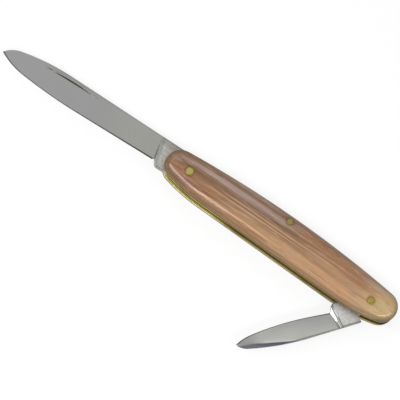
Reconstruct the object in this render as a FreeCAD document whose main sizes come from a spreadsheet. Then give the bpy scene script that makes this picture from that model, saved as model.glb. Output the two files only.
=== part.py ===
import FreeCAD, Part
import math
import os
import Sketcher

# Equal-end two-blade pen knife: one backspring, brass liners, wooden scales, three pins.
# Millimetres. +X runs along the pivot line from the large blade's end to the small blade's end,
# +Y points to the back of the knife and +Z to its near side. The knife lies on its rear scale.

doc = FreeCAD.newDocument("pen_knife")

# Driving sizes

SIZES = {
    # Handle outline, seen square to the scales
    "pivot_spacing": 67.6,
    "main_end_overhang": 7.9,
    "pen_end_overhang": 8.9,
    "end_radius": 5.0,
    "back_radius": 350,
    "back_crest_shift": 3.75,
    "back_rise": 7.95,
    "slot_edge_drop": 5.65,
    "taper_radius": 55,
    # Handle layers
    "scale_thickness": 2.9,
    "scale_edge_height": 0.5,
    "shoulder_width": 3.8,
    "liner_thickness": 0.6,
    "spring_thickness": 2.6,
    # Pins
    "main_pin_diameter": 2.6,
    "pen_pin_diameter": 2.1,
    "spring_pin_diameter": 2.1,
    "spring_pin_rise": 5.55,
    "pin_fit": 0.02,
    "pivot_fit": 0.03,
    # Slip joint
    "tang_side_gap": 0.03,
    "contact_gap": 0.03,
    "shoulder_gap": 0.08,
    "closed_tilt": 4,
    "pen_rest_angle": 51.6,
    "leaf_gap": 0.1,
    # Sharpening, the same on both blades
    "whet_angle": 25,
    "whet_inset": 0.04,
    "whet_height": 0.42,
    "whet_lead": 0.25,
    # Large blade, measured from its pivot: reach towards the tip, rise towards the spine
    "main_tip_setback": 0.4,
    "main_tip_drop": 2.2,
    "main_spine_rise": 5.6,
    "main_far_spine_rise": 4.0,
    "main_point_length": 21.7,
    "main_nose_length": 4.75,
    "main_nose_spine_rise": 1.25,
    "main_heel_reach": 11.5,
    "main_heel_drop": 2.6,
    "main_straight_edge": 26.9,
    "main_belly_drop": 4.45,
    "main_nose_belly_length": 8.8,
    "main_nose_belly_drop": 4.55,
    "main_flat_distance": 3.0,
    "main_cam_radius": 3.5,
    "main_shoulder_reach": 4.4,
    "main_kick_reach": 9.2,
    "main_kick_top_reach": 9.9,
    "main_kick_top_drop": 3.2,
    "main_notch_reach": 10.9,
    "main_notch_drop": 2.05,
    "main_plunge_reach": 12.6,
    "main_plunge_slant": 11.4,
    "main_plunge_run": 0.7,
    "main_face_step": 0.07,
    "main_edge_thickness": 0.2,
    "main_nick_setback": 23.3,
    "main_nick_length": 17,
    "main_nick_width": 0.9,
    "main_nick_depth": 0.35,
    "main_nick_spine_margin": 1.0,
    # Small blade, measured the same way
    "pen_reach": 43.3,
    "pen_tip_rise": 1.2,
    "pen_spine_rise": 5.0,
    "pen_far_spine_rise": 5.35,
    "pen_point_length": 23.3,
    "pen_nose_length": 3.3,
    "pen_nose_spine_rise": 3.4,
    "pen_heel_reach": 12.4,
    "pen_heel_drop": 0.45,
    "pen_straight_edge": 5.6,
    "pen_belly_drop": 0.9,
    "pen_nose_belly_length": 5.3,
    "pen_nose_belly_drop": 0.45,
    "pen_flat_distance": 2.8,
    "pen_cam_radius": 3.25,
    "pen_shoulder_reach": 3.6,
    "pen_kick_reach": 10.0,
    "pen_kick_top_reach": 11.45,
    "pen_kick_top_drop": 1.9,
    "pen_notch_reach": 11.55,
    "pen_notch_drop": 0.75,
    "pen_plunge_reach": 10.4,
    "pen_plunge_slant": 16,
    "pen_plunge_run": 2.3,
    "pen_face_step": 0.3,
    "pen_rear_step": 0.07,
    "pen_edge_thickness": 0.18,
    "pen_hub_radius": 2.0,
    "pen_nick_setback": 11,
    "pen_nick_length": 11,
    "pen_nick_width": 0.8,
    "pen_nick_depth": 0.3,
    "pen_nick_spine_margin": 1.0,
    "pen_swedge_length": 16,
    "pen_swedge_width": 0.9,
    "pen_swedge_depth": 0.25,
}

sheet = doc.addObject("Spreadsheet::Sheet", "sizes")
for row, (alias, value) in enumerate(SIZES.items(), start=1):
    sheet.set(f"A{row}", alias)
    sheet.set(f"B{row}", str(value))
    sheet.setAlias(f"B{row}", alias)
doc.recompute()


def size(alias):
    return float(sheet.get(alias))


def point(x, y):
    return FreeCAD.Vector(x, y, 0)


Z_AXIS = FreeCAD.Vector(0, 0, 1)

# Stock left on the pins before they are ground flush, and how far a cutter runs past the work
STOCK = 1.0
OVERRUN = 3.0


# Helpers for bodies, sketches and features

def new_body(label):
    body = doc.addObject("PartDesign::Body", label)
    body.Label = label
    return body


def new_sketch(body, name, role="XY_Plane"):
    plane = next(feature for feature in body.Origin.OriginFeatures if feature.Role == role)
    sketch = body.newObject("Sketcher::SketchObject", name)
    sketch.AttachmentSupport = [(plane, "")]
    sketch.MapMode = "FlatFace"
    return sketch


def bind(sketch, constraint, name, expression):
    index = sketch.addConstraint(constraint)
    sketch.renameConstraint(index, name)
    sketch.setExpression(f"Constraints.{name}", expression)


def pad(body, sketch, length, both_ways=False, downwards=False):
    feature = body.newObject("PartDesign::Pad", sketch.Name + "_pad")
    feature.Profile = sketch
    feature.Midplane = both_ways
    feature.Reversed = downwards
    feature.setExpression("Length", length)
    sketch.Visibility = False
    doc.recompute()
    return feature


def pocket_through(body, sketch):
    feature = body.newObject("PartDesign::Pocket", sketch.Name + "_pocket")
    feature.Profile = sketch
    feature.Type = "ThroughAll"
    feature.Midplane = True
    before = body.Shape.Volume
    doc.recompute()
    assert feature.Shape.Volume < before - 1e-6, feature.Name + " cuts nothing"
    return feature


def chain(sketch, curves):
    # Draws a closed profile and ties each curve to the next where their ends meet.
    sketch.addGeometry(curves, False)
    ends = (1, 2)
    for index in range(len(curves)):
        following = (index + 1) % len(curves)
        pairs = [(here, there) for here in ends for there in ends]
        here, there = min(pairs, key=lambda pair: sketch.getPoint(index, pair[0]).distanceToPoint(
            sketch.getPoint(following, pair[1])))
        sketch.addConstraint(Sketcher.Constraint("Coincident", index, here, following, there))


def segment(start, end):
    return Part.LineSegment(start, end)


def arc_about(centre, radius, start_angle, end_angle):
    return Part.ArcOfCircle(Part.Circle(centre, Z_AXIS, radius), start_angle, end_angle)


def angle_of(vector):
    return math.atan2(vector.y, vector.x)


# Handle outline, shared by scales and liners

def back_centre():
    return point(size("back_crest_shift"), size("back_rise") - size("back_radius"))


def back_height(x):
    # Rise of the knife's back over the pivot line
    centre = back_centre()
    return centre.y + math.sqrt(size("back_radius") ** 2 - (x - centre.x) ** 2)


def draw_handle_outline(body, name, inset=0, inset_words="0"):
    # All curves bulge outwards, so an inset comes off every radius.
    half = size("pivot_spacing") / 2
    end_radius = size("end_radius") - inset
    taper_radius = size("taper_radius") - inset
    back_radius = size("back_radius") - inset
    drop = size("slot_edge_drop") - inset
    back = back_centre()

    def end_centre(x):
        reach = back_radius - end_radius
        return point(x, back.y + math.sqrt(reach ** 2 - (x - back.x) ** 2))

    def taper_centre(end, inward):
        rise = taper_radius - drop
        run = math.sqrt((taper_radius - end_radius) ** 2 - (end.y - rise) ** 2)
        return point(end.x + inward * run, rise)

    main_end = end_centre(-half - size("main_end_overhang") + size("end_radius"))
    pen_end = end_centre(half + size("pen_end_overhang") - size("end_radius"))
    main_taper = taper_centre(main_end, 1)
    pen_taper = taper_centre(pen_end, -1)
    bottom = -math.pi / 2
    pen_low = angle_of(pen_end - pen_taper)
    pen_high = angle_of(pen_end - back)
    main_high = angle_of(main_end - back)
    main_low = angle_of(main_end - main_taper) + 2 * math.pi

    sketch = new_sketch(body, name)
    sketch.addGeometry([
        segment(point(main_taper.x, -drop), point(pen_taper.x, -drop)),
        arc_about(pen_taper, taper_radius, bottom, pen_low),
        arc_about(pen_end, end_radius, pen_low, pen_high),
        arc_about(back, back_radius, pen_high, main_high),
        arc_about(main_end, end_radius, main_high, main_low),
        arc_about(main_taper, taper_radius, main_low, bottom + 2 * math.pi),
    ], False)
    edge, pen_flare, pen_nose, spine, main_nose, main_flare = range(6)
    for index in range(6):
        following = (index + 1) % 6
        sketch.addConstraint(Sketcher.Constraint("Tangent", index, 2, following, 1))
    sketch.addConstraint(Sketcher.Constraint("Horizontal", edge))
    constraint = Sketcher.Constraint
    radii = {
        "taper_radius": (pen_flare, main_flare),
        "end_radius": (pen_nose, main_nose),
        "back_radius": (spine,),
    }
    for alias, curves in radii.items():
        for curve in curves:
            bind(sketch, constraint("Radius", curve, size(alias) - inset), f"{alias}_{curve}",
                 f"sizes.{alias} - {inset_words}")
    bind(sketch, constraint("DistanceY", -1, 1, edge, 1, -drop), "slot_edge",
         f"{inset_words} - sizes.slot_edge_drop")
    bind(sketch, constraint("DistanceX", -1, 1, spine, 3, back.x), "crest", "sizes.back_crest_shift")
    bind(sketch, constraint("DistanceY", -1, 1, spine, 3, back.y), "back_centre",
         "sizes.back_rise - sizes.back_radius")
    bind(sketch, constraint("DistanceX", -1, 1, pen_nose, 3, pen_end.x), "pen_end",
         "sizes.pivot_spacing / 2 + sizes.pen_end_overhang - sizes.end_radius")
    bind(sketch, constraint("DistanceX", -1, 1, main_nose, 3, main_end.x), "main_end",
         "-sizes.pivot_spacing / 2 - sizes.main_end_overhang + sizes.end_radius")
    return sketch


# Pin places, as expressions of the sheet

PINS = {
    "main": ("-sizes.pivot_spacing / 2", "0"),
    "pen": ("sizes.pivot_spacing / 2", "0"),
    "spring": ("0", "sizes.spring_pin_rise"),
}


def pin_place(pin):
    half = size("pivot_spacing") / 2
    places = {"main": point(-half, 0), "pen": point(half, 0), "spring": point(0, size("spring_pin_rise"))}
    return places[pin]


def draw_pin_circle(sketch, pin, fit):
    # A circle at a pin's place, larger in radius than the pin by the named fit
    x, y = PINS[pin]
    clearance = f" + sizes.{fit}" if fit else ""
    radius = size(f"{pin}_pin_diameter") / 2 + (size(fit) if fit else 0)
    place = pin_place(pin)
    circle = sketch.addGeometry(Part.Circle(place, Z_AXIS, radius), False)
    constraint = Sketcher.Constraint
    bind(sketch, constraint("Radius", circle, radius), f"{pin}_radius",
         f"sizes.{pin}_pin_diameter / 2{clearance}")
    if pin == "spring":
        sketch.addConstraint(constraint("PointOnObject", circle, 3, -2))
        bind(sketch, constraint("DistanceY", -1, 1, circle, 3, place.y), f"{pin}_rise", y)
    else:
        sketch.addConstraint(constraint("PointOnObject", circle, 3, -1))
        bind(sketch, constraint("DistanceX", -1, 1, circle, 3, place.x), f"{pin}_reach", x)


def cut_pin_holes(body, pins, fit):
    sketch = new_sketch(body, body.Label + "_pin_holes")
    for pin in pins:
        draw_pin_circle(sketch, pin, fit)
    pocket_through(body, sketch)


# Pins are spun tight and ground flush with the scales: flat on the land, round over the shoulders.

def grind_pin_end(body, land, outward, name):
    width = size("shoulder_width")
    rise = size("scale_thickness") - size("scale_edge_height")
    high = back_height(0)
    low = -size("slot_edge_drop")
    foot = land - outward * rise
    outside = land + outward * STOCK
    quarter = math.pi / 2
    low_shoulder = Part.Ellipse(point(low + width, foot), width, rise)
    high_shoulder = Part.Ellipse(point(high - width, foot), width, rise)
    low_start, high_start = (quarter, 0) if outward > 0 else (2 * quarter, 3 * quarter)
    sketch = new_sketch(body, name, "YZ_Plane")
    chain(sketch, [
        segment(point(low, outside), point(low, foot)),
        Part.ArcOfEllipse(low_shoulder, low_start, low_start + quarter),
        segment(point(low + width, land), point(high - width, land)),
        Part.ArcOfEllipse(high_shoulder, high_start, high_start + quarter),
        segment(point(high, foot), point(high, outside)),
        segment(point(high, outside), point(low, outside)),
    ])
    pocket_through(body, sketch)


# Heights of the layers, from the rest face up

FRONT_LINER = "sizes.scale_thickness + sizes.liner_thickness + sizes.spring_thickness"
MIDDLE = "sizes.scale_thickness + sizes.liner_thickness + sizes.spring_thickness / 2"
middle_height = size("scale_thickness") + size("liner_thickness") + size("spring_thickness") / 2


# Scales: a thin straight edge on the liner, then a shoulder rounded over to the flat land.
# The shoulder is lofted in narrow bands through outlines drawn in and up along a quarter of an ellipse.

SHOULDER_STEPS = 12


def draw_shoulder_section(body, step, outward):
    turn = math.pi / 2 * step / SHOULDER_STEPS
    share_in = 1 - math.cos(turn)
    share_up = math.sin(turn)
    sketch = draw_handle_outline(body, f"{body.Label}_shoulder_{step}", share_in * size("shoulder_width"),
                                 f"{share_in:.6f} * sizes.shoulder_width")
    rise = f"{share_up:.6f} * (sizes.scale_thickness - sizes.scale_edge_height)"
    sketch.setExpression("AttachmentOffset.Base.z", f"{outward} * (sizes.scale_edge_height + {rise})")
    return sketch


def make_scale(label, outward, height):
    body = new_body(label)
    outline = draw_handle_outline(body, label + "_outline")
    pad(body, outline, "sizes.scale_edge_height", downwards=outward < 0)
    sections = [draw_shoulder_section(body, step, outward) for step in range(SHOULDER_STEPS + 1)]
    doc.recompute()
    loft = body.newObject("PartDesign::AdditiveLoft", label + "_shoulder")
    loft.Profile = sections[0]
    loft.Sections = sections[1:]
    loft.Ruled = True
    doc.recompute()
    cut_pin_holes(body, PINS, "pin_fit")
    body.setExpression("Placement.Base.z", height)
    return body


def make_liner(label, height):
    body = new_body(label)
    pad(body, draw_handle_outline(body, label + "_outline"), "sizes.liner_thickness")
    cut_pin_holes(body, PINS, "pin_fit")
    body.setExpression("Placement.Base.z", height)
    return body


def make_pin(label, pin):
    body = new_body(label)
    sketch = new_sketch(body, label + "_section")
    draw_pin_circle(sketch, pin, None)
    pad(body, sketch, f"2 * ({MIDDLE}) + {STOCK}", both_ways=True)
    grind_pin_end(body, middle_height, 1, label + "_front_end")
    grind_pin_end(body, -middle_height, -1, label + "_rear_end")
    body.setExpression("Placement.Base.z", MIDDLE)
    return body


# Slip-joint spring: flexed at the small blade's end, where the half-open tang lifts it

def make_backspring():
    half = size("pivot_spacing") / 2
    main_tip = -half - size("main_shoulder_reach") + size("shoulder_gap")
    pen_tip = half + size("pen_shoulder_reach") - size("shoulder_gap")
    main_seat = size("main_flat_distance") + size("contact_gap")
    pen_seat = size("pen_cam_radius") + size("contact_gap")
    pen_lift = size("pen_cam_radius") - size("pen_flat_distance")
    pen_seat_start = half - size("pen_cam_radius")
    main_top = point(main_tip, back_height(main_tip))
    pen_top = point(pen_tip, back_height(pen_tip) + pen_lift)

    body = new_body("backspring")
    sketch = new_sketch(body, "backspring_profile")
    chain(sketch, [
        segment(main_top, point(main_tip, main_seat)),
        segment(point(main_tip, main_seat), point(0, main_seat)),
        segment(point(0, main_seat), point(pen_seat_start, pen_seat)),
        segment(point(pen_seat_start, pen_seat), point(pen_tip, pen_seat)),
        segment(point(pen_tip, pen_seat), pen_top),
        Part.Arc(pen_top, point(0, back_height(0)), main_top),
    ])
    pad(body, sketch, "sizes.spring_thickness", both_ways=True)
    cut_pin_holes(body, ["spring"], "pin_fit")
    body.setExpression("Placement.Base.z", MIDDLE)
    return body


# Blade blanks. A blade is drawn from its pivot: reach runs to the tip, rise to the spine.

def tangent_arc(start, direction, end):
    # The arc that leaves start along direction and ends at end, with its direction there
    across = end - start
    normal = point(-direction.y, direction.x)
    offset = across.dot(normal)
    radius = across.dot(across) / (2 * offset)
    centre = start + normal * radius
    middle = (start + end) * 0.5 - centre
    halfway = centre + middle.normalize() * abs(radius)
    turn = end - centre
    leaving = point(-turn.y, turn.x) * (1 / radius)
    return Part.Arc(start, halfway, end), leaving.normalize()


def run(start, end):
    return (end - start).normalize()


def blade_outline(prefix, reach, tip_rise):
    # Points of the blank as (reach, rise), from the spine's shoulder round the tang to the tip and back
    def value(name):
        return size(f"{prefix}_{name}")

    shoulder = value("shoulder_reach")
    flat = value("flat_distance")
    cam = value("cam_radius")
    flat_end = math.sqrt(cam ** 2 - flat ** 2)
    tilt = math.radians(size("closed_tilt"))
    along = point(math.cos(tilt), -math.sin(tilt))
    off = point(-math.sin(tilt), -math.cos(tilt)) * flat
    open_corner = point(-flat_end, flat)
    closed_corner = along * -flat_end + off
    butt = point(-cam, 0)
    kick = along * value("kick_reach") + off
    kick_top = point(value("kick_top_reach"), -value("kick_top_drop"))
    notch = point(value("notch_reach"), -value("notch_drop"))
    heel = point(value("heel_reach"), -value("heel_drop"))
    belly = point(heel.x + value("straight_edge"), -value("belly_drop"))
    nose_belly = point(reach - value("nose_belly_length"), -value("nose_belly_drop"))
    tip = point(reach, tip_rise)
    nose_spine = point(reach - value("nose_length"), value("nose_spine_rise"))
    far_spine = point(reach - value("point_length"), value("far_spine_rise"))
    spine = point(shoulder, value("spine_rise"))

    belly_arc, belly_way = tangent_arc(belly, run(heel, belly), nose_belly)
    lower_nose_arc, _ = tangent_arc(nose_belly, belly_way, tip)
    back_arc, back_way = tangent_arc(far_spine, run(spine, far_spine), nose_spine)
    upper_nose_arc, _ = tangent_arc(nose_spine, back_way, tip)
    return [
        segment(spine, point(shoulder, flat)),
        segment(point(shoulder, flat), open_corner),
        Part.Arc(open_corner, butt, closed_corner),
        segment(closed_corner, kick),
        segment(kick, kick_top),
        segment(kick_top, notch),
        segment(notch, heel),
        segment(heel, belly),
        belly_arc,
        lower_nose_arc,
        reverse(upper_nose_arc),
        reverse(back_arc),
        segment(far_spine, spine),
    ]


# The curves of that outline that carry the cutting edge
HEEL_TO_TIP = slice(7, 10)


def reverse(arc):
    first, last = arc.FirstParameter, arc.LastParameter
    return Part.Arc(arc.value(last), arc.value((first + last) / 2), arc.value(first))


def placed(curves, rise_way):
    # Turns (reach, rise) into the body's own X and Y: the tip points to -X
    def move(spot):
        return point(-spot.x, rise_way * spot.y)

    moved = []
    for curve in curves:
        first, last = curve.FirstParameter, curve.LastParameter
        start, end = move(curve.value(first)), move(curve.value(last))
        if isinstance(curve, Part.LineSegment):
            moved.append(segment(start, end))
        else:
            moved.append(Part.Arc(start, move(curve.value((first + last) / 2)), end))
    return moved


def blade_blank(label, curves, thickness, both_ways):
    body = new_body(label)
    outline = new_sketch(body, label + "_outline")
    chain(outline, curves)
    pad(body, outline, thickness, both_ways=both_ways, downwards=not both_ways)
    return body


def bore_pivot(body, pin):
    sketch = new_sketch(body, body.Label + "_pivot_hole")
    circle = sketch.addGeometry(Part.Circle(point(0, 0), Z_AXIS, size(f"{pin}_pin_diameter") / 2), False)
    sketch.addConstraint(Sketcher.Constraint("Coincident", circle, 3, -1, 1))
    bind(sketch, Sketcher.Constraint("Radius", circle, size(f"{pin}_pin_diameter") / 2), "pivot_radius",
         f"sizes.{pin}_pin_diameter / 2 + sizes.pivot_fit")
    pocket_through(body, sketch)


def grind_cutter(prefix, face, reach, spine, height, fall, outward):
    # The wheel's sweep over one face: a plane that falls towards the edge. Its plunge end slopes up to
    # the tang and stands askew; plunge_reach is where it meets the spine, plunge_run its length per depth.
    label = f"{prefix}_{face}_grind"
    slant = size(f"{prefix}_plunge_slant")
    plunge = size(f"{prefix}_plunge_reach") * math.cos(math.radians(slant))
    ramp_top = size(f"{prefix}_plunge_run") * OVERRUN - plunge
    clear = outward * OVERRUN
    far = reach + OVERRUN
    body = new_body(label)
    sketch = new_sketch(body, label + "_sweep", "XZ_Plane")
    chain(sketch, [
        segment(point(-plunge, 0), point(ramp_top, clear)),
        segment(point(ramp_top, clear), point(-far, clear)),
        segment(point(-far, clear), point(-far, 0)),
        segment(point(-far, 0), point(-plunge, 0)),
    ])
    pad(body, sketch, str(reach), both_ways=True)
    tilt = FreeCAD.Rotation(FreeCAD.Vector(1, 0, 0), outward * math.copysign(fall, spine))
    turn = tilt * FreeCAD.Rotation(Z_AXIS, slant)
    body.Placement = FreeCAD.Placement(FreeCAD.Vector(0, spine, height), turn)
    return body


def drawn_in(curve, inset):
    # The same stretch of the cutting edge, moved in towards the spine
    first, last = curve.FirstParameter, curve.LastParameter
    spots = [curve.value(first), curve.value((first + last) / 2), curve.value(last)]
    if isinstance(curve, Part.LineSegment):
        way = run(spots[0], spots[2])
        shift = point(-way.y, way.x) * inset
        return segment(spots[0] + shift, spots[2] + shift)
    circle = curve.toShape().Curve
    share = 1 - inset / circle.Radius
    return Part.Arc(*[circle.Center + (spot - circle.Center) * share for spot in spots])


def whet_cutter(prefix, curves, rise_way, height):
    # What the stone takes off both sides of the cutting edge: a wedge open towards the blade
    body = new_body(f"{prefix}_whetting")
    top = size("whet_height")
    slope = math.tan(math.radians(size("whet_angle")))
    below = -3 * OVERRUN
    sections = []
    for name, level in (("under", -top), ("edge", 0), ("over", top)):
        inset = size("whet_inset") + abs(level) / slope
        line, belly, nose = [drawn_in(curve, inset) for curve in curves[HEEL_TO_TIP]]
        way = run(line.StartPoint, line.EndPoint)
        lead = line.StartPoint - way * size("whet_lead")
        tip = nose.value(nose.LastParameter)
        spoke = (tip - nose.toShape().Curve.Center).normalize()
        past = tip + point(-spoke.y, spoke.x) * OVERRUN
        far = point(past.x, below)
        near = point(lead.x, below)
        sketch = new_sketch(body, f"{prefix}_whetting_{name}")
        sketch.AttachmentOffset = FreeCAD.Placement(FreeCAD.Vector(0, 0, level), FreeCAD.Rotation())
        edge = [segment(lead, line.EndPoint), belly, nose, segment(tip, past)]
        outside = [segment(past, far), segment(far, near), segment(near, lead)]
        chain(sketch, placed(edge + outside, rise_way))
        sections.append(sketch)
    doc.recompute()
    loft = body.newObject("PartDesign::AdditiveLoft", f"{prefix}_whetting_wedge")
    loft.Profile = sections[0]
    loft.Sections = sections[1:]
    loft.Ruled = True
    doc.recompute()
    body.Placement = FreeCAD.Placement(FreeCAD.Vector(0, 0, height), FreeCAD.Rotation())
    return body


def nick_cutter(label, prefix, centre, rise_way, face, outward, slope):
    # A wide cone cuts the nail nick: a steep wall towards the edge that runs out towards the spine
    length = size(f"{prefix}_nick_length")
    depth = size(f"{prefix}_nick_depth")
    radius = length ** 2 / (8 * depth) + depth / 2
    cone = doc.addObject("Part::Cone", label)
    cone.Radius1 = radius
    cone.Radius2 = radius - depth
    cone.setExpression("Height", f"sizes.{prefix}_nick_width")
    upright = FreeCAD.Rotation(FreeCAD.Vector(1, 0, 0), -90 * rise_way)
    spot = FreeCAD.Vector(-centre.x, rise_way * centre.y, face + outward * (radius - depth))
    cone.Placement = FreeCAD.Placement(spot, FreeCAD.Rotation(Z_AXIS, slope) * upright)
    return cone


def cut_away(label, base, tools):
    for tool in tools:
        cut = doc.addObject("Part::Cut", label + "_less_" + tool.Name)
        cut.Base = base
        cut.Tool = tool
        doc.recompute()
        base = cut
    base.Label = label
    return base


def make_main_blade():
    reach = size("pivot_spacing") - size("main_tip_setback")
    curves = blade_outline("main", reach, -size("main_tip_drop"))
    blank = blade_blank("main_blank", placed(curves, 1),
                        "sizes.spring_thickness - 2 * sizes.tang_side_gap", True)
    bore_pivot(blank, "main")
    spine = size("main_spine_rise")
    front = size("spring_thickness") / 2 - size("tang_side_gap") - size("main_face_step")
    rear = size("leaf_gap") / 2
    fall = math.degrees(math.atan((front - rear - size("main_edge_thickness")) / 2
                                  / (spine + size("main_nose_belly_drop"))))
    front_grind = grind_cutter("main", "front", reach, spine, front, fall, 1)
    rear_grind = grind_cutter("main", "rear", reach, spine, rear, fall, -1)
    point_start = reach - size("main_point_length")
    slope = math.degrees(math.atan((spine - size("main_far_spine_rise"))
                                   / (point_start - size("main_shoulder_reach"))))
    nick_reach = reach - size("main_nick_setback")
    nick_rise = size("main_far_spine_rise") - size("main_nick_spine_margin")
    face = front - (spine - nick_rise) * math.tan(math.radians(fall))
    nick = nick_cutter("main_nick", "main", point(nick_reach, nick_rise), 1, face, 1, slope)
    whetting = whet_cutter("main", curves, 1, (front + rear) / 2)
    blade = cut_away("main_blade", blank, [front_grind, rear_grind, nick, whetting])
    blade.setExpression("Placement.Base.x", "-sizes.pivot_spacing / 2")
    blade.setExpression("Placement.Base.z", MIDDLE)
    return blade


def make_pen_blade():
    # Its tang and leaf lie in the rear half of the slot, so that the large blade folds in beside it.
    # Only a round hub fills the slot's width.
    reach = size("pen_reach")
    curves = blade_outline("pen", reach, size("pen_tip_rise"))
    blank = blade_blank("pen_blank", placed(curves, -1),
                        "sizes.spring_thickness / 2 - sizes.tang_side_gap - sizes.leaf_gap / 2", False)
    hub = new_sketch(blank, "pen_hub")
    circle = hub.addGeometry(Part.Circle(point(0, 0), Z_AXIS, size("pen_hub_radius")), False)
    hub.addConstraint(Sketcher.Constraint("Coincident", circle, 3, -1, 1))
    bind(hub, Sketcher.Constraint("Radius", circle, size("pen_hub_radius")), "hub_radius",
         "sizes.pen_hub_radius")
    pad(blank, hub, "sizes.spring_thickness / 2 - sizes.tang_side_gap + sizes.leaf_gap / 2")
    bore_pivot(blank, "pen")

    spine = size("pen_spine_rise")
    front = -size("pen_face_step")
    rear_face = size("leaf_gap") / 2 + size("tang_side_gap") - size("spring_thickness") / 2
    rear = rear_face + size("pen_rear_step")
    fall = math.degrees(math.atan((front - rear - size("pen_edge_thickness")) / 2
                                  / (spine + size("pen_belly_drop"))))
    front_grind = grind_cutter("pen", "front", reach, -spine, front, fall, 1)
    rear_grind = grind_cutter("pen", "rear", reach, -spine, rear, fall, -1)
    nick_rise = spine - size("pen_nick_spine_margin")
    face = rear + size("pen_nick_spine_margin") * math.tan(math.radians(fall))
    nick = nick_cutter("pen_nick", "pen", point(reach - size("pen_nick_setback"), nick_rise), -1, face, -1, 0)
    swedge = swedge_cutter(reach, front, fall)
    whetting = whet_cutter("pen", curves, -1, (front + rear) / 2)
    blade = cut_away("pen_blade", blank, [front_grind, rear_grind, nick, swedge, whetting])
    blade.setExpression("Placement.Base.x", "sizes.pivot_spacing / 2")
    blade.setExpression("Placement.Base.z", f"{MIDDLE} - sizes.leaf_gap / 2")
    blade.setExpression("Placement.Rotation.Angle", "sizes.pen_rest_angle")
    return blade


def swedge_cutter(reach, front, fall):
    # A false edge on the front face: a plane that drops towards the spine, from its start to the tip
    start = point(reach - size("pen_swedge_length"), size("pen_far_spine_rise"))
    end = point(reach, size("pen_tip_rise") - size("pen_swedge_width") / 2)
    along = end - start
    face_slope = math.tan(math.radians(fall))
    drop = along.Length * size("pen_swedge_depth") / size("pen_swedge_width")
    forward = FreeCAD.Vector(-along.x, -along.y, along.y * face_slope).normalize()
    to_spine = FreeCAD.Vector(along.y, -along.x, along.x * face_slope - drop).normalize()
    height = front + (start.y - size("pen_spine_rise")) * face_slope
    box = doc.addObject("Part::Box", "pen_swedge")
    box.Length = along.Length + 2 * OVERRUN
    box.Width = 2 * OVERRUN
    box.Height = OVERRUN
    corner = FreeCAD.Vector(-start.x, -start.y, height) - (forward + to_spine) * OVERRUN
    box.Placement = FreeCAD.Placement(corner, FreeCAD.Rotation(forward, to_spine, FreeCAD.Vector(), "XYZ"))
    return box


# Put together

front_scale = make_scale("front_scale", 1, f"{FRONT_LINER} + sizes.liner_thickness")
rear_scale = make_scale("rear_scale", -1, "sizes.scale_thickness")
front_liner = make_liner("front_liner", FRONT_LINER)
rear_liner = make_liner("rear_liner", "sizes.scale_thickness")
main_pivot_pin = make_pin("main_pivot_pin", "main")
pen_pivot_pin = make_pin("pen_pivot_pin", "pen")
spring_pin = make_pin("spring_pin", "spring")
backspring = make_backspring()
main_blade = make_main_blade()
pen_blade = make_pen_blade()
pieces = [front_scale, rear_scale, front_liner, rear_liner, main_pivot_pin, pen_pivot_pin, spring_pin,
          backspring, main_blade, pen_blade]
doc.recompute()

for item in doc.Objects:
    if "Invalid" in item.State or "Error" in item.State:
        raise RuntimeError(item.Name + " failed: " + str(item.State))
for piece in pieces:
    if piece.Shape.isNull() or not piece.Shape.isValid() or len(piece.Shape.Solids) != 1:
        raise RuntimeError(piece.Label + " is not one sound solid")

os.makedirs("parts", exist_ok=True)
for piece in pieces:
    piece.Shape.exportStep(f"parts/{piece.Label}.step")
    print(piece.Label, round(piece.Shape.Volume, 2))
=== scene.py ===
import math

import bmesh
import bpy
from mathutils import Matrix, Vector


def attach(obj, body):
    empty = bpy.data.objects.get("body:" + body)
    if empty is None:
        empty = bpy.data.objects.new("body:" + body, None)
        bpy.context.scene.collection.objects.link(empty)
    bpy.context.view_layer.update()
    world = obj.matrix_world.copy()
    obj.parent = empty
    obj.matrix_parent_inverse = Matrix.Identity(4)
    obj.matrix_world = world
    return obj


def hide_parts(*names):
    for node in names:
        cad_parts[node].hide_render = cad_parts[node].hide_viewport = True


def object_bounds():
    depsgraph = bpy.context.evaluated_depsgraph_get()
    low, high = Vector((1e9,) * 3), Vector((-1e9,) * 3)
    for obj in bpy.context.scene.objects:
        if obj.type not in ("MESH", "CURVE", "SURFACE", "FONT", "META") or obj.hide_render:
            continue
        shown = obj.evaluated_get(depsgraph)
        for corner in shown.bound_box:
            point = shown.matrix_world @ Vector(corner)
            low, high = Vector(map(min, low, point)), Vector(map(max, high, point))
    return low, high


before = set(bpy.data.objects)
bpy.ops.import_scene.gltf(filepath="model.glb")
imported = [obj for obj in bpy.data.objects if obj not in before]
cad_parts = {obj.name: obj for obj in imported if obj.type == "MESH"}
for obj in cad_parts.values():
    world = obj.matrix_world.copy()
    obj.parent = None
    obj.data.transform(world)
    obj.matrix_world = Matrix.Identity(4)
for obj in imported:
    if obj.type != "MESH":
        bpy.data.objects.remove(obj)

# An equal-end pocket knife with two blades, lying on its rear scale, both blades out of the handle.
# Metres in the shared frame: +X to the small blade's end, +Y to the back, +Z to the near side.
# Sizes are written in millimetres, except the room's, and finishes are worked out in millimetres.

cad_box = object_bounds()


# Liners
# Two plates of thin yellow brass, punched from sheet, that close the slot and carry the scales.
# Their edges are filed flush and tarnished, with painted light and shade along the slot's lip; the
# sheet keeps its rolling lines.

MM = 0.001


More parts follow.
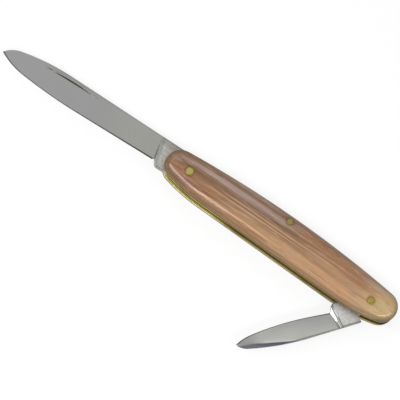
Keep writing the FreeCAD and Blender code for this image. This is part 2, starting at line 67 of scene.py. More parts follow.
class Value:
    """One value in a finish's recipe; arithmetic on it adds the nodes that work it out."""

    def __init__(self, tree, outlet):
        self.tree = tree
        self.outlet = outlet

    def node(self, kind, settings, sockets, outlet=0):
        # Adds a node with its settings, then gives each named socket its value or its link
        made = self.tree.nodes.new(kind)
        for name, setting in settings.items():
            setattr(made, name, setting)
        for name, value in sockets.items():
            if isinstance(value, Value):
                self.tree.links.new(value.outlet, made.inputs[name])
            else:
                made.inputs[name].default_value = value
        return Value(self.tree, made.outputs[outlet])

    def maths(self, operation, *values):
        return self.node("ShaderNodeMath", {"operation": operation}, dict(enumerate(values)))

    def __add__(self, other):
        return self.maths("ADD", self, other)

    def __sub__(self, other):
        return self.maths("SUBTRACT", self, other)

    def __rsub__(self, other):
        return self.maths("SUBTRACT", other, self)

    def __mul__(self, other):
        return self.maths("MULTIPLY", self, other)

    def __abs__(self):
        return self.maths("ABSOLUTE", self)

    __radd__ = __add__
    __rmul__ = __mul__

    def axis(self, letter):
        return self.node("ShaderNodeSeparateXYZ", {}, {0: self}, letter)

    def along(self, way):
        # How far a place lies along a direction
        return self.node("ShaderNodeVectorMath", {"operation": "DOT_PRODUCT"},
                         {0: self, 1: way}, "Value")

    def ease(self, start, end):
        # 0 at start, 1 at end, a soft passage between them
        return self.node("ShaderNodeMapRange", {"interpolation_type": "SMOOTHSTEP"},
                         {"Value": self, "From Min": start, "From Max": end})

    def noise(self, stretch, detail, seed):
        # Cloudy values about 0.5; stretch is how often they change in a millimetre, axis by axis
        spot = self.node("ShaderNodeVectorMath", {"operation": "MULTIPLY"}, {0: self, 1: stretch})
        return self.node("ShaderNodeTexNoise", {"noise_dimensions": "4D"},
                         {"Vector": spot, "W": seed, "Scale": 1.0, "Detail": detail})

    def tint(self, first, second):
        # The first colour where this value is 0, the second where it is 1
        return self.node("ShaderNodeMix", {"data_type": "RGBA"}, {0: self, 6: first, 7: second}, 2)

    def relief(self, height):
        # A surface normal raised by this value, up to the height in millimetres
        return self.node("ShaderNodeBump", {},
                         {"Height": self, "Distance": height * MM, "Strength": 1.0})


def colour(red, green, blue):
    # A colour as seen on screen, 0 to 255, as linear light
    light = []
    for channel in (red, green, blue):
        share = channel / 255
        light.append(share / 12.92 if share < 0.04045 else ((share + 0.055) / 1.055) ** 2.4)
    return light + [1]


def new_finish(name):
    # A bare material, its surface shader and the place on the piece in millimetres
    finish = bpy.data.materials.new(name)
    finish.use_nodes = True
    tree = finish.node_tree
    surface = tree.nodes["Principled BSDF"]
    metres = Value(tree, tree.nodes.new("ShaderNodeTexCoord").outputs["Object"])
    place = metres.node("ShaderNodeVectorMath", {"operation": "SCALE"},
                        {0: metres, "Scale": 1 / MM})
    return finish, surface, place


def lay_on(surface, **sockets):
    # Sets the surface's sockets: a plain number or colour directly, a recipe by a link
    for name, value in sockets.items():
        socket = surface.inputs[name.replace("_", " ")]
        if isinstance(value, Value):
            value.tree.links.new(value.outlet, socket)
        else:
            socket.default_value = value


WELD = 0.0003 * MM
FLAT = math.radians(0.2)
CORNER = (math.radians(60), math.radians(120))
CREASE = math.radians(16)


def finished_piece(node, body, finish, edge, adjust=None):
    # A welded copy of a solid, its square corners eased by edge millimetres and its curves shaded
    # smooth; adjust, where given, shifts a detail of the copy first
    shape = bmesh.new()
    shape.from_mesh(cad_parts[node].data)
    bmesh.ops.remove_doubles(shape, verts=shape.verts, dist=WELD)
    bmesh.ops.dissolve_limit(shape, angle_limit=FLAT, verts=shape.verts, edges=shape.edges)
    bmesh.ops.recalc_face_normals(shape, faces=shape.faces)
    if adjust:
        adjust(shape)
    corners = [line for line in shape.edges
               if CORNER[0] < line.calc_face_angle_signed(0) < CORNER[1]]
    bmesh.ops.bevel(shape, geom=corners, offset=edge * MM, offset_type="OFFSET", segments=2,
                    profile=0.5, affect="EDGES", clamp_overlap=False, material=-1)
    bmesh.ops.recalc_face_normals(shape, faces=shape.faces)
    for face in shape.faces:
        face.smooth = True
    for line in shape.edges:
        line.smooth = line.is_manifold and line.calc_face_angle() < CREASE
    mesh = bpy.data.meshes.new(node + "_finished")
    shape.to_mesh(mesh)
    shape.free()
    if "custom_normal" in mesh.attributes:
        mesh.attributes.remove(mesh.attributes["custom_normal"])
    mesh.materials.clear()
    mesh.materials.append(finish)
    piece = bpy.data.objects.new(node + "_finished", mesh)
    bpy.context.scene.collection.objects.link(piece)
    piece.modifiers.new("even_flats", "WEIGHTED_NORMAL").keep_sharp = True
    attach(piece, body)
    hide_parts(node)


BRASS_BRIGHT = colour(244, 232, 142)
BRASS_DULL_SHADED = colour(122, 102, 26)
BRASS_GRIME_AND_SHADE = colour(68, 57, 16)

# The slot's lip lies this far below the pivot line and curves up towards both ends
LIP_DROP = 5.65
LIP_CURVE_START = 24.8
LIP_CURVE_RADIUS = 55.0

# Painted light and shade along the lip: from bright to shaded at its middle and at its left end,
# and from clean to grime and painted shade as it goes into the slot
LIP_SHADE_MIDDLE = (-21.0, -10.0)
LIP_SHADE_END = (-35.0, -40.0)
SLOT_GRIME_AND_SHADE_DEPTH = (0.3, 0.75)


def brass_sheet(name, edge_shade, seed):
    # Painted light along the slot's lip over random tarnish, and grime with painted shade further
    # in
    finish, surface, place = new_finish(name)
    x = place.axis("X")
    past = abs(x) - LIP_CURVE_START
    past = past.maths("MAXIMUM", past, 0.0)
    inside = place.axis("Y") + LIP_DROP - past * past * (0.5 / LIP_CURVE_RADIUS)
    rolling = place.noise((0.06, 2.0, 9.0), 3.0, seed)
    tarnish = place.noise((0.1, 0.5, 0.5), 4.0, seed + 1).ease(0.4, 0.75)
    # Painted light and shade along the lip: bright left of the middle, shaded to the right and at
    # the left end
    lip_shade = x.ease(*LIP_SHADE_MIDDLE) + x.ease(*LIP_SHADE_END) * 0.6
    # The last term darkens a whole liner: painted shade, used on the near one
    darkening = tarnish * 0.4 + lip_shade * 0.6 + rolling * 0.15 + edge_shade
    shade = darkening.tint(BRASS_BRIGHT, BRASS_DULL_SHADED)
    # Grime and painted shade deepen into the slot
    shade = (inside.ease(*SLOT_GRIME_AND_SHADE_DEPTH) * 0.85).tint(shade, BRASS_GRIME_AND_SHADE)
    lay_on(surface, Metallic=0.8, Base_Color=shade,
           Roughness=rolling * 0.16 + tarnish * 0.1 + 0.34, Normal=rolling.relief(0.004))
    return finish


LINER_EDGE = 0.05

finish = brass_sheet("rear_liner_brass", edge_shade=0.0, seed=1.0)
finished_piece("rear_liner", "handle", finish, LINER_EDGE)
# The near liner is painted darker all over, as painted shade on its edge
finish = brass_sheet("front_liner_brass", edge_shade=0.5, seed=3.0)
finished_piece("front_liner", "handle", finish, LINER_EDGE)


# Scales
# Two slabs of streaked pinkish-brown wood, sawn along the grain, rounded over and buffed glossy.
# They are held by the three pins alone, and the wood has darkened round each pin.

# Each pin's place along and up the knife, and its radius
PINS = {"main": (-33.8, 0, 1.3), "pen": (33.8, 0, 1.05), "spring": (0, 5.55, 1.05)}

HEARTWOOD = colour(112, 76, 52)
BROWN = colour(150, 106, 74)
SAPWOOD = colour(188, 146, 110)
HONEY = colour(182, 160, 112)
MAUVE = colour(160, 140, 132)
RUST = colour(120, 66, 48)
CREAM = colour(208, 170, 136)

# Streaks of the grain on each scale: rise over the pivot line at mid-length, slope, half width,
# first and last place along the knife, then the tone of the wood and its strength. Later streaks
# lie over earlier ones.
NEAR_STREAKS = [
    (0.0, 0.0, 5.0, 31, 52, HONEY, 0.8),
    (0.0, 0.0, 5.0, -60, -31, HEARTWOOD, 0.3),
    # The dark streak along the back edge is partly painted shade
    (6.7, 0.0, 1.3, -40, 40, HEARTWOOD, 0.6),
    (6.4, 0.0, 0.8, -25, -4, MAUVE, 0.5),
    (5.2, 0.0, 2.0, 3, 27, BROWN, 0.8),
    # Partly painted shade along the back edge
    (6.6, -0.015, 1.1, 2, 28, HEARTWOOD, 0.55),
    # The mauve band along the upper side is partly a painted reflection
    (4.25, 0.0375, 1.0, -38, 2, MAUVE, 0.7),
    (5.6, 0.043, 0.35, -38, -1, HEARTWOOD, 0.55),
    (3.5, 0.04, 0.2, -34, -6, HEARTWOOD, 0.45),
    (2.75, 0.043, 0.4, -36, 13, HEARTWOOD, 0.55),
    (2.4, 0.0, 0.8, 14, 36, BROWN, 0.75),
    (4.7, 0.0, 0.8, 29, 39, MAUVE, 0.5),
    (0.3, 0.0, 0.8, 38, 48, CREAM, 0.4),
    (1.2, 0.012, 0.28, -21, 19, CREAM, 0.4),
    (0.55, 0.006, 0.26, -21, 9, HEARTWOOD, 0.5),
    (0.2, 0.018, 0.24, -24, 4, CREAM, 0.4),
    (-0.35, 0.012, 0.24, -22, 6, HEARTWOOD, 0.45),
    (-0.8, 0.0, 0.4, 4, 34, BROWN, 0.6),
    (-0.4, 0.06, 0.24, -27, -11, CREAM, 0.45),
    (-1.8, 0.0, 1.0, -18, 4, CREAM, 0.15),
    (-1.5, 0.0, 1.6, -50, -21, BROWN, 0.9),
    (-1.2, 0.0, 0.35, -46, -29, HEARTWOOD, 0.6),
    (1.0, 0.0, 0.3, -46, -33, HEARTWOOD, 0.55),
    (-2.5, 0.01, 0.45, -38, -23, RUST, 0.95),
    (-2.4, 0.0, 1.0, 2, 32, SAPWOOD, 0.45),
    # This cream line carries on the shoulder's gloss: partly a painted highlight
    (-3.35, 0.0, 0.24, -27, -4, CREAM, 0.85),
    (-4.1, 0.0, 0.3, -24, 0, BROWN, 0.8),
    (-4.9, 0.0, 0.7, -44, -18, BROWN, 0.7),
    (-3.4, 0.0, 0.22, 12, 30, BROWN, 0.5),
]
FAR_STREAKS = [
    (4.6, -0.02, 1.2, -30, 30, MAUVE, 0.7),
    (2.4, -0.03, 0.6, -44, 20, HEARTWOOD, 0.75),
    (1.5, -0.02, 0.24, -10, 30, CREAM, 0.6),
    (0.6, -0.02, 0.5, -20, 40, SAPWOOD, 0.7),
    (-0.2, -0.02, 0.25, -32, 4, HEARTWOOD, 0.7),
    (-0.8, -0.01, 0.4, -36, 26, HEARTWOOD, 0.7),
    (-2.6, -0.01, 1.2, -40, 10, SAPWOOD, 0.8),
    (-3.3, 0.0, 0.26, -6, 28, RUST, 0.6),
    (-4.2, 0.0, 0.5, -30, 34, BROWN, 0.7),
]
WOOD_DARK = colour(122, 91, 63)
WOOD_LIGHT = colour(182, 142, 104)
LINE_DARK = colour(92, 58, 36)
LINE_LIGHT = colour(232, 194, 154)
PIN_STAIN = colour(84, 66, 32)
SHOULDER_SHADE = colour(84, 62, 34)
RIM_SHADE_OLIVE = colour(104, 76, 26)
RIM_SHADE = colour(70, 50, 28)

# How far the grain wanders along the knife, how far a stain reaches past its pin, and where the
# fine lines blur towards the right end
GRAIN_WANDER = 22
STAIN_WIDTH = 0.9
BLURRED_END = (26.0, 36.0)

# Where painted shade darkens the rim more, along the back and round the right end
SHADED_BACK = (0.0, 3.0)
SHADED_END = (36.5, 40.0)


def flat_distance(place, x, y):
    # How far a place lies from an upright axis through x and y
    level = place.node("ShaderNodeVectorMath", {"operation": "MULTIPLY"}, {0: place, 1: (1, 1, 0)})
    return place.node("ShaderNodeVectorMath", {"operation": "DISTANCE"},
                      {0: level, 1: (x, y, 0)}, "Value")


def streaked_wood(name, streaks, seed):
    # Broad tone from the light lower right to the dark upper left, then the streaks, fine lines,
    # stains round the pins, and painted shade on the shoulder and rim
    finish, surface, place = new_finish(name)
    sway = place.noise((0.05, 0.12, 0.12), 2.0, seed) - 0.5
    grain = place.noise((0.035, 1.7, 0.9), 5.0, seed + 1)
    lines = place.noise((0.05, 3.2, 2.0), 4.0, seed + 2)
    hairs = place.noise((0.12, 8.0, 5.0), 3.0, seed + 3)
    flecks = place.noise((0.3, 2.8, 2.0), 3.0, seed + 4)
    patches = place.noise((0.12, 0.7, 0.5), 3.0, seed + 5)
    upright = abs(place.node("ShaderNodeTexCoord", {}, {}, "Normal").axis("Z"))
    shoulder = upright.ease(0.95, 0.72)
    rim = upright.ease(0.5, 0.15)

    length = place.axis("X")
    height = place.axis("Y")
    x = length + (grain - 0.5) * GRAIN_WANDER
    y = height + sway
    tone = (x * 0.012 - y * 0.085 + grain * 0.6 + 0.12).ease(0.0, 1.0)
    shade = tone.tint(WOOD_DARK, WOOD_LIGHT)
    for rise, slope, width, first, last, streak, strength in streaks:
        off = abs(y - x * slope - rise) + (grain - 0.5) * (2 * width)
        reach = x.ease(first - 4, first + 4) * x.ease(last + 5, last - 5)
        shade = (off.ease(width * 1.6, width * 0.3) * reach * strength).tint(shade, streak)

    sharp = 1 - length.ease(*BLURRED_END) * 0.6
    shade = (patches.ease(0.5, 0.75) * 0.4).tint(shade, MAUVE)
    shade = (lines.ease(0.5, 0.25) * sharp * 0.34).tint(shade, LINE_DARK)
    shade = (lines.ease(0.52, 0.78) * sharp * 0.3).tint(shade, LINE_LIGHT)
    shade = (patches.ease(0.5, 0.3) * (1 - sharp) * 0.7).tint(shade, CREAM)
    shade = (hairs.ease(0.44, 0.2) * sharp * 0.35).tint(shade, LINE_DARK)
    shade = (flecks.ease(0.46, 0.2) * 0.4).tint(shade, LINE_DARK)
    shade = (flecks.ease(0.55, 0.8) * 0.35).tint(shade, LINE_LIGHT)

    for pin_x, pin_y, radius in PINS.values():
        stain = flat_distance(place, pin_x, pin_y).ease(radius + STAIN_WIDTH, radius)
        shade = (stain * 0.5).tint(shade, PIN_STAIN)
    # Painted shade on the sloping shoulder and the rim, deeper along the back and round the right
    # end
    shade = (shoulder * 0.45).tint(shade, SHOULDER_SHADE)
    shade = (rim * 0.75).tint(shade, RIM_SHADE_OLIVE)
    shaded_rim = height.ease(*SHADED_BACK) + length.ease(*SHADED_END)
    shade = (upright.ease(0.82, 0.45) * shaded_rim * 0.7).tint(shade, RIM_SHADE)

    # The gloss is rubbed along the lower half and at the upper left corner
    rubbed_half = length.ease(-35.0, -20.0) * length.ease(32.0, 24.0) * height.ease(0.0, -2.0)
    rubbed_corner = length.ease(-26.0, -34.0) * height.ease(0.5, 2.5)
    rubbed = rubbed_half + rubbed_corner * 1.6
    lay_on(surface, Base_Color=shade, Roughness=hairs * 0.2 + 0.4,
           Coat_Weight=0.75 - rim * 0.6 - rubbed * 0.35, Coat_Roughness=0.05,
           Specular_IOR_Level=0.2, Normal=(hairs * 0.5 + lines * 0.5).relief(0.008))
    return finish


SCALE_EDGE = 0.08

finish = streaked_wood("far_scale_wood", FAR_STREAKS, seed=31.0)
finished_piece("rear_scale", "handle", finish, SCALE_EDGE)
finish = streaked_wood("near_scale_wood", NEAR_STREAKS, seed=11.0)
finished_piece("front_scale", "handle", finish, SCALE_EDGE)


# Pins
# Three lengths of brass rod through scales, liners and steel, headed tight and ground flush.
# Buffing left fine lines over their ends, and polish has dried dark at their rims.

PIN_TONES = {
    "main": colour(198, 186, 110),
    "pen": colour(204, 178, 84),
    "spring": colour(172, 157, 92),
}
PIN_NODES = {"main": "main_pivot_pin", "pen": "pen_pivot_pin", "spring": "spring_pin"}
PIN_RIM = colour(134, 116, 50)
PIN_EDGE = 0.06

for pin, (pin_x, pin_y, radius) in PINS.items():
    finish, surface, place = new_finish(pin + "_pin_brass")
    buffing = place.noise((2.0, 14.0, 2.0), 3.0, seed=pin_x)
    rim = flat_distance(place, pin_x, pin_y).ease(radius * 0.6, radius)
    lay_on(surface, Metallic=0.9,
           Base_Color=(rim * 0.6 + buffing * 0.2).tint(PIN_TONES[pin], PIN_RIM),
           Roughness=buffing * 0.2 + 0.25, Normal=buffing.relief(0.006))
    finished_piece(PIN_NODES[pin], "handle", finish, PIN_EDGE)


# Backspring
# One bar of spring steel along the knife's back, pinned at its middle; the tangs press on its ends.
# It is ground flush with the liners along the back and left grey from hardening inside.

SPRING_GREY = colour(172, 172, 168)
SPRING_DARK = colour(112, 110, 104)
SPRING_EDGE = 0.06

finish, surface, place = new_finish("spring_steel")
grinding = place.noise((0.08, 8.0, 8.0), 4.0, seed=5.0)
stain = place.noise((0.07, 1.6, 1.6), 4.0, seed=6.0).ease(0.35, 0.8)
lay_on(surface, Metallic=1.0,
       Base_Color=(stain * 0.35 + grinding * 0.5).tint(SPRING_GREY, SPRING_DARK),
       Roughness=grinding * 0.2 + 0.28, Normal=grinding.relief(0.006))
finished_piece("backspring", "handle", finish, SPRING_EDGE)


# Large blade
# A spear-point leaf of satin-ground steel with a nail nick; its tang turns on the main pin.
# The wheel left fine lines across the leaf, and the tang keeps its rougher pressed face.

STEEL_GREY = colour(180, 180, 180)
STEEL_WARM = colour(187, 187, 181)
TANG_GREY = colour(160, 160, 154)
TANG_PALE = colour(204, 204, 198)
TANG_WOOD_REFLECTION = colour(186, 150, 124)
EDGE_SHADE_GREY = colour(92, 92, 92)
WHETTED_SHADE = colour(14, 14, 14)
NICK_GREY = colour(138, 140, 133)
STEEL_GRIME_AND_SHADE = colour(54, 56, 48)

# A blade is measured from its pin: reach towards the tip, rise towards the spine.
MAIN_LEAF = {
    "pin": "main",
    "tip_way": (-1, 0, 0),
    "rise_way": (0, 1, 0),
    # Where the plunge line crosses the pin's height, and its lean towards the tip as it rises
    "plunge": 11.24,
    "plunge_lean": 0.235,
    # Painted shade along the plunge: first and last place past it, the rise where it is clear and
    # the one where it is full, and its strength
    "plunge_shade": [(-0.2, 0.4, 6.0, -1.0, 0.36), (-1.1, -0.2, 9.0, 8.0, 0.25)],
    # Half the leaf's thickness at a rise, its gain for each millimetre up, and the leaf's mid plane
    "half_rise": 5.6,
    "half": 0.575,
    "half_gain": 0.0468,
    "middle": 5.425,
    # The nail nick's middle and length, and the face it is struck in: 1 near, -1 far
    "nick_reach": 44.5,
    "nick_rise": 2.7,
    "nick_length": 19,
    "nick_side": 1,
    # The leaf's two tones, and how far it is towards the second: at the plunge, more at the tip,
    # more for each millimetre up; this gradient is partly painted light
    "leaf_tones": (STEEL_WARM, STEEL_GREY),
    "tone_start": 0.0,
    "tone_tip": 1.0,
    "tone_rise": 0.0,
    # The tang's two tones, the rises between which it pales, where a painted warm reflection of the
    # wood lies on it behind the plunge, and its borders' painted shade: inner and outer rise and
    # strength
    "tang_tones": (TANG_GREY, TANG_PALE),
    "tang_paling": (-6.5, -2.5),
    "tang_reflection": (-1.8, -3.6),
    "tang_border_shade": [(2.6, 3.8, 0.3), (4.8, 5.4, 0.5), (-3.25, -3.7, 0.65)],
    # The spine's rise at the pin and its fall for each millimetre out, how far below it the painted
    # shade on the leaf starts, and how strong the painted shade along the spine is
    "spine_rise": 6.125,
    "spine_fall": 0.0467,
    "spine_band": -1.1,
    "spine_shade": 0.4,
    "whetted_shade": WHETTED_SHADE,
}


def ground_steel(name, leaf, seed, point_shade=None):
    # Wheel lines run from spine to edge; the tang behind the plunge is pressed, paler and clouded.
    # Ground facets are told from the faces by their slope, and the nick by its depth in its face.
    # Shade is painted on the whetted facet, the spine, the plunge, the tang's borders and the
    # nick's bottom; a warm reflection is painted on the tang, and the leaf's tone is partly painted
    # light.
    finish, surface, place = new_finish(name)
    pin_x, pin_y, _ = PINS[leaf["pin"]]
    pivot = Vector((pin_x, pin_y, 0))
    tip_way = Vector(leaf["tip_way"])
    rise_way = Vector(leaf["rise_way"])
    reach = place.along(tip_way) - pivot.dot(tip_way)
    rise = place.along(rise_way) - pivot.dot(rise_way)
    spot = place.node("ShaderNodeCombineXYZ", {}, {"X": reach, "Y": rise})
    lines = spot.noise((11.0, 0.25, 1.0), 3.0, seed)
    cloud = spot.noise((0.12, 0.3, 1.0), 3.0, seed + 1)
    pressed = spot.noise((1.9, 1.3, 1.0), 4.0, seed + 2)
    past = reach - rise * leaf["plunge_lean"] - leaf["plunge"]
    tang = past.ease(0.1, -0.1)

    facing = place.node("ShaderNodeTexCoord", {}, {}, "Normal")
    facing_spine = facing.along(rise_way)
    upright = abs(facing.axis("Z"))
    on_face = upright.ease(0.4, 0.6)
    whetted = upright.ease(0.99, 0.98) * on_face * facing_spine.ease(-0.25, -0.35)

    from_middle = place.axis("Z") - leaf["middle"]
    half = rise * leaf["half_gain"] + (leaf["half"] - leaf["half_rise"] * leaf["half_gain"])
    half_length = leaf["nick_length"] / 2
    struck = (half - abs(from_middle)) * on_face
    struck = struck * abs(reach - leaf["nick_reach"]).ease(half_length + 1, half_length)
    struck = struck * abs(rise - leaf["nick_rise"]).ease(0.7, 0.6)
    struck = struck * (from_middle * leaf["nick_side"]).ease(0.0, 0.04)

    # The leaf's tone gradient is partly painted light, under the wheel lines and clouding
    tone = past.ease(3.0, 26.0) * leaf["tone_tip"] + (rise - 1.5) * leaf["tone_rise"]
    tone = tone + leaf["tone_start"] + (cloud - 0.5) * 0.6 + (lines - 0.5) * 0.3
    shade = tone.tint(*leaf["leaf_tones"])
    under_spine = rise + reach * leaf["spine_fall"] - leaf["spine_rise"]
    # Painted shade on the leaf just below the spine
    darkening = under_spine.ease(leaf["spine_band"], -0.1) * leaf["spine_shade"]
    shade = (darkening * 0.6).tint(shade, EDGE_SHADE_GREY)

    paling = pressed.ease(0.3, 0.7) * 0.8 + rise.ease(*leaf["tang_paling"]) * 0.4 - 0.1
    bare = paling.tint(*leaf["tang_tones"])
    # A painted warm reflection of the wood, on the tang near the scales
    bare = (past.ease(*leaf["tang_reflection"]) * 0.3).tint(bare, TANG_WOOD_REFLECTION)
    # Painted shade along the tang's borders
    for inner, outer, dulling in leaf["tang_border_shade"]:
        bare = (rise.ease(inner, outer) * dulling).tint(bare, EDGE_SHADE_GREY)
    shade = tang.tint(shade, bare)

    # Painted shade on the spine's wall
    shade = (facing_spine.ease(0.35, 0.7) * leaf["spine_shade"]).tint(shade, STEEL_GRIME_AND_SHADE)
    if point_shade:
        shade = point_shade(shade, spot, facing)
    # The whetted facet is painted dark: painted shade
    shade = (whetted * 0.95).tint(shade, leaf["whetted_shade"])
    # Painted shade along the plunge's step
    for first, last, clean_rise, full_rise, dirt in leaf["plunge_shade"]:
        seam = past.ease(first - 0.1, first + 0.1) * past.ease(last + 0.1, last - 0.1)
        shade = (seam * rise.ease(clean_rise, full_rise) * dirt).tint(shade, STEEL_GRIME_AND_SHADE)
    # The nick's floor is grey; its deepest part gets grime and painted shade
    shade = struck.ease(0.02, 0.06).tint(shade, NICK_GREY)
    shade = struck.ease(0.08, 0.17).tint(shade, STEEL_GRIME_AND_SHADE)

    roughness = lines * 0.1 + cloud * 0.06 + tang * pressed * 0.2 + 0.24
    roughness = roughness + struck.ease(0.0, 0.05) * 0.3 - whetted * 0.1
    lay_on(surface, Metallic=1.0, Base_Color=shade, Roughness=roughness,
           Normal=(lines * 0.35 + tang * pressed).relief(0.003))
    return finish


# The solid's nick: the reach and rise of its middle, half its length and height, and the level that
# it lies above; a face whose normal stands straighter than the last value is the leaf's own
SOLID_NICK = (44, 3.4)
SOLID_NICK_HALF = (9, 0.65)
SOLID_NICK_LEVEL = 5.5
LEAF_FACE = 0.99

# The nick's slide towards the edge, its lean for each millimetre of reach, and its growth from a
# fixed place near its heel
NICK_DROP = 0.65
NICK_LEAN = 0.035
NICK_FIXED_REACH = 37.7
NICK_GROWTH = 0.12


def lower_nick(shape):
    # Slides the nick down the leaf's near face, leans it and draws it out towards the tip
    pin_x = PINS["main"][0]
    struck = set()
    for face in shape.faces:
        spot = face.calc_center_median() / MM
        along = abs(pin_x - spot.x - SOLID_NICK[0]) < SOLID_NICK_HALF[0]
        across = abs(spot.y - SOLID_NICK[1]) < SOLID_NICK_HALF[1]
        near_side = spot.z > SOLID_NICK_LEVEL
        if along and across and near_side and face.normal.z < LEAF_FACE:
            struck.update(face.verts)
    for corner in struck:
        reach = pin_x - corner.co.x / MM
        drop = NICK_DROP + (reach - SOLID_NICK[0]) * NICK_LEAN
        corner.co.x += (NICK_FIXED_REACH - reach) * NICK_GROWTH * MM
        corner.co.y -= drop * MM
        corner.co.z -= drop * MAIN_LEAF["half_gain"] * MM


BLADE_EDGE = 0.09

finish = ground_steel("main_blade_steel", MAIN_LEAF, seed=41.0)
finished_piece("main_blade", "main_blade", finish, BLADE_EDGE, lower_nick)


# Small blade
# A pen blade of the same ground steel with a swedge along its point, half out of the slot.
# Its thin tang and leaf lie in the rear half of the slot and turn on a hub round the pen pin.

PEN_PALE = colour(218, 218, 211)
PEN_TANG_GREY = colour(214, 216, 212)
PEN_TANG_PALE = colour(250, 250, 247)
PEN_WHETTED_SHADE = colour(80, 80, 80)
SWEDGE_DARK = colour(112, 110, 124)
SWEDGE_PALE = colour(126, 125, 132)
SWEDGE_HIGHLIGHT = colour(246, 244, 250)

PEN_TURN = math.radians(51.6)
PEN_LEAF = {
    "pin": "pen",
    "tip_way": (-math.cos(PEN_TURN), -math.sin(PEN_TURN), 0),
    "rise_way": (math.sin(PEN_TURN), -math.cos(PEN_TURN), 0),
    "plunge": 10.43,
    "plunge_lean": -0.15,
    "plunge_shade": [(-0.25, 0.25, -0.5, -2.5, 0.9), (-0.25, 0.1, 0.8, 2.0, 0.78),
              (0.05, 0.6, -9.0, -8.0, 0.9), (0.6, 1.05, 1.8, 3.0, 0.86),
              (1.1, 1.5, 0.5, 2.0, 0.35)],
    "half_rise": 5.0,
    "half": 0.425,
    "half_gain": 0.0568,
    "middle": 4.025,
    "nick_reach": 32.3,
    "nick_rise": 4.4,
    "nick_length": 11,
    "nick_side": -1,
    "leaf_tones": (STEEL_GREY, PEN_PALE),
    "tone_start": 0.33,
    "tone_tip": 0.5,
    "tone_rise": 0.14,
    "tang_tones": (PEN_TANG_GREY, PEN_TANG_PALE),
    "tang_paling": (5.0, -1.0),
    "tang_reflection": (-4.0, -7.0),
    "tang_border_shade": [(4.2, 4.8, 0.65), (-2.3, -2.9, 0.65)],
    "spine_rise": 5.0,
    "spine_fall": 0.0,
    "spine_band": -0.35,
    "spine_shade": 0.92,
    "whetted_shade": PEN_WHETTED_SHADE,
}

# The swedge's dark tone starts beyond its long line or its starting line, and past the line at
# the point; each line is two places, reach and rise
SWEDGE_RUN = ((27.3, 5.35), (43.3, 0.75))
SWEDGE_START = ((25.6, 5.0), (34.5, 3.25))
SWEDGE_POINT = ((36.0, 2.85), (41.0, 2.15))

# Reaches between which the point greys, the painted highlight under the swedge comes and goes,
# and the swedge pales
POINT_GREYING = (34.5, 39.5)
HIGHLIGHT_COMING = (24.0, 27.0)
HIGHLIGHT_GOING = (36.0, 33.0)
SWEDGE_PALING = (30.0, 39.0)


def past_line(spot, line):
    # How far a place lies past a line, towards the spine
    start, end = (Vector((reach, rise, 0)) for reach, rise in line)
    across = Vector((start.y - end.y, end.x - start.x, 0)).normalized()
    return spot.along(across) - across.dot(start)


def swedged_point(shade, spot, facing):
    # Greys the leaf towards its point and darkens the swedge, with a painted highlight along its
    # foot
    reach = spot.axis("X")
    near = facing.axis("Z").ease(0.2, 0.4)
    run = past_line(spot, SWEDGE_RUN)
    beyond = run.maths("MAXIMUM", run, past_line(spot, SWEDGE_START))
    at_point = past_line(spot, SWEDGE_POINT).ease(-0.35, 0.15)
    shade = (reach.ease(*POINT_GREYING) * 0.88).tint(shade, STEEL_GREY)
    # A painted highlight along the swedge's foot
    swedge_highlight = beyond.ease(-1.0, -0.4) * reach.ease(*HIGHLIGHT_COMING) * reach.ease(*HIGHLIGHT_GOING)
    shade = (swedge_highlight * near * 0.4).tint(shade, SWEDGE_HIGHLIGHT)
    ground = reach.ease(*SWEDGE_PALING).tint(SWEDGE_DARK, SWEDGE_PALE)
    return (beyond.ease(-0.12, 0.04) * at_point * near).tint(shade, ground)


PEN_EDGE = 0.08

finish = ground_steel("pen_blade_steel", PEN_LEAF, seed=51.0, point_shade=swedged_point)
finished_piece("pen_blade", "pen_blade", finish, PEN_EDGE)


# Table
# A plain sheet of white paper under the knife that runs out of sight.
# It shows white to the camera and in the steel, and keeps a faint shadow.

# Half the sheet's side in metres, and the gap between it and the knife
TABLE_HALF = 3.0
TABLE_GAP = 0.02 * MM
PAPER_WHITE = (0.92, 0.92, 0.92, 1)
PURE_WHITE = (1, 1, 1, 1)
PAPER_GLOW = 0.8

floor_mesh = bpy.data.meshes.new("table")
sheet = bmesh.new()
bmesh.ops.create_grid(sheet, x_segments=1, y_segments=1, size=TABLE_HALF,
                      matrix=Matrix.Translation((0, 0, cad_box[0][2] - TABLE_GAP)))
sheet.to_mesh(floor_mesh)
sheet.free()
floor = bpy.data.objects.new("table", floor_mesh)
bpy.context.scene.collection.objects.link(floor)
paper = bpy.data.materials.new("table_paper")
paper.use_nodes = True
tree = paper.node_tree
tree.nodes.clear()
path = tree.nodes.new("ShaderNodeLightPath")
seen = Value(tree, path.outputs["Is Camera Ray"]) + Value(tree, path.outputs["Is Glossy Ray"])
seen = seen + Value(tree, path.outputs["Is Transmission Ray"])
matt = seen.node("ShaderNodeBsdfDiffuse", {}, {"Color": PAPER_WHITE})
glow = seen.node("ShaderNodeEmission", {}, {"Color": PURE_WHITE, "Strength": 1.0})
cover = seen.node("ShaderNodeMixShader", {}, {0: seen * PAPER_GLOW, 1: matt, 2: glow})
tree.links.new(cover.outlet, tree.nodes.new("ShaderNodeOutputMaterial").inputs["Surface"])
floor_mesh.materials.append(paper)


# Light
# An even pale room, and soft panels overhead: a near one to the left and front, a slim one turned
# to the right end, and a broad faint one behind.

BACKDROP_WAY = (-0.6, 0.8, 0.0)
ROOM_LEVEL = 0.1

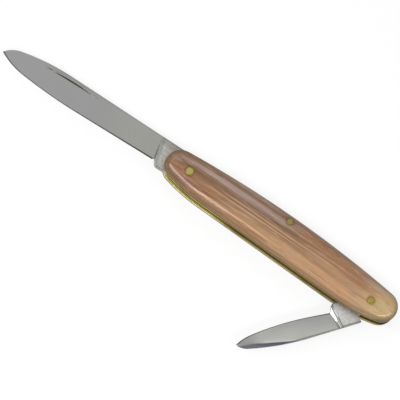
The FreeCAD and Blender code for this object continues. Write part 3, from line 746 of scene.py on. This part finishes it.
world = bpy.data.worlds.new("room")
world.use_nodes = True
room = world.node_tree
sky = room.nodes["Background"]
way = Value(room, room.nodes.new("ShaderNodeTexCoord").outputs["Generated"])
height = way.axis("Z")
overhead = height.ease(-0.1, 0.75) * 0.36
horizon = height.ease(0.12, 0.05) * 0.9
backdrop = way.along(BACKDROP_WAY).ease(0.35, 0.8) * height.ease(0.6, 0.3) * 0.6
room.links.new((overhead + backdrop + horizon + ROOM_LEVEL).outlet, sky.inputs["Strength"])
sky.inputs["Color"].default_value = PURE_WHITE
bpy.context.scene.world = world


def panel(name, centre, width, depth, turn, glow):
    # A soft panel over the table, facing down; place and sides in metres, glow as seen from below
    lamp = bpy.data.lights.new(name, "AREA")
    lamp.shape = "RECTANGLE"
    lamp.size = width
    lamp.size_y = depth
    lamp.energy = glow * math.pi * width * depth
    holder = bpy.data.objects.new(name, lamp)
    holder.location = centre
    holder.rotation_euler.z = math.radians(turn)
    holder.visible_camera = False
    bpy.context.scene.collection.objects.link(holder)


panel("left_panel", (-0.389, -0.205, 0.45), width=0.782, depth=0.15, turn=0, glow=7.2)
panel("right_panel", (0.454, -0.131, 0.45), width=0.66, depth=0.1, turn=42, glow=9.0)
panel("back_panel", (-0.3, 0.33, 0.45), width=0.61, depth=0.34, turn=0, glow=0.8)


# Camera
# Over the table on the slot's side, with a long lens.
# It is turned about its view so that the knife lies across the picture from corner to corner.

AIM = Vector((-26.062, -4.06, 4.8)) * MM
AZIMUTH = math.radians(-6.239)
ELEVATION = math.radians(72.25)
ROLL = math.radians(41.374)
DISTANCE = 1493.33 * MM
SENSOR = 36
LENS = 442.28

back = Vector((math.sin(AZIMUTH) * math.cos(ELEVATION), -math.cos(AZIMUTH) * math.cos(ELEVATION),
               math.sin(ELEVATION)))
level = Vector((0, 0, 1)).cross(back).normalized()
right = level * math.cos(ROLL) + back.cross(level) * math.sin(ROLL)
up = back.cross(right)
turned = Matrix((right, up, back)).transposed().to_4x4()
camera = bpy.data.cameras.new("camera")
camera.sensor_width = SENSOR
camera.lens = LENS
holder = bpy.data.objects.new("camera", camera)
holder.matrix_world = Matrix.Translation(AIM + back * DISTANCE) @ turned
bpy.context.scene.collection.objects.link(holder)
bpy.context.scene.camera = holder
bpy.context.scene.view_settings.view_transform = "Standard"
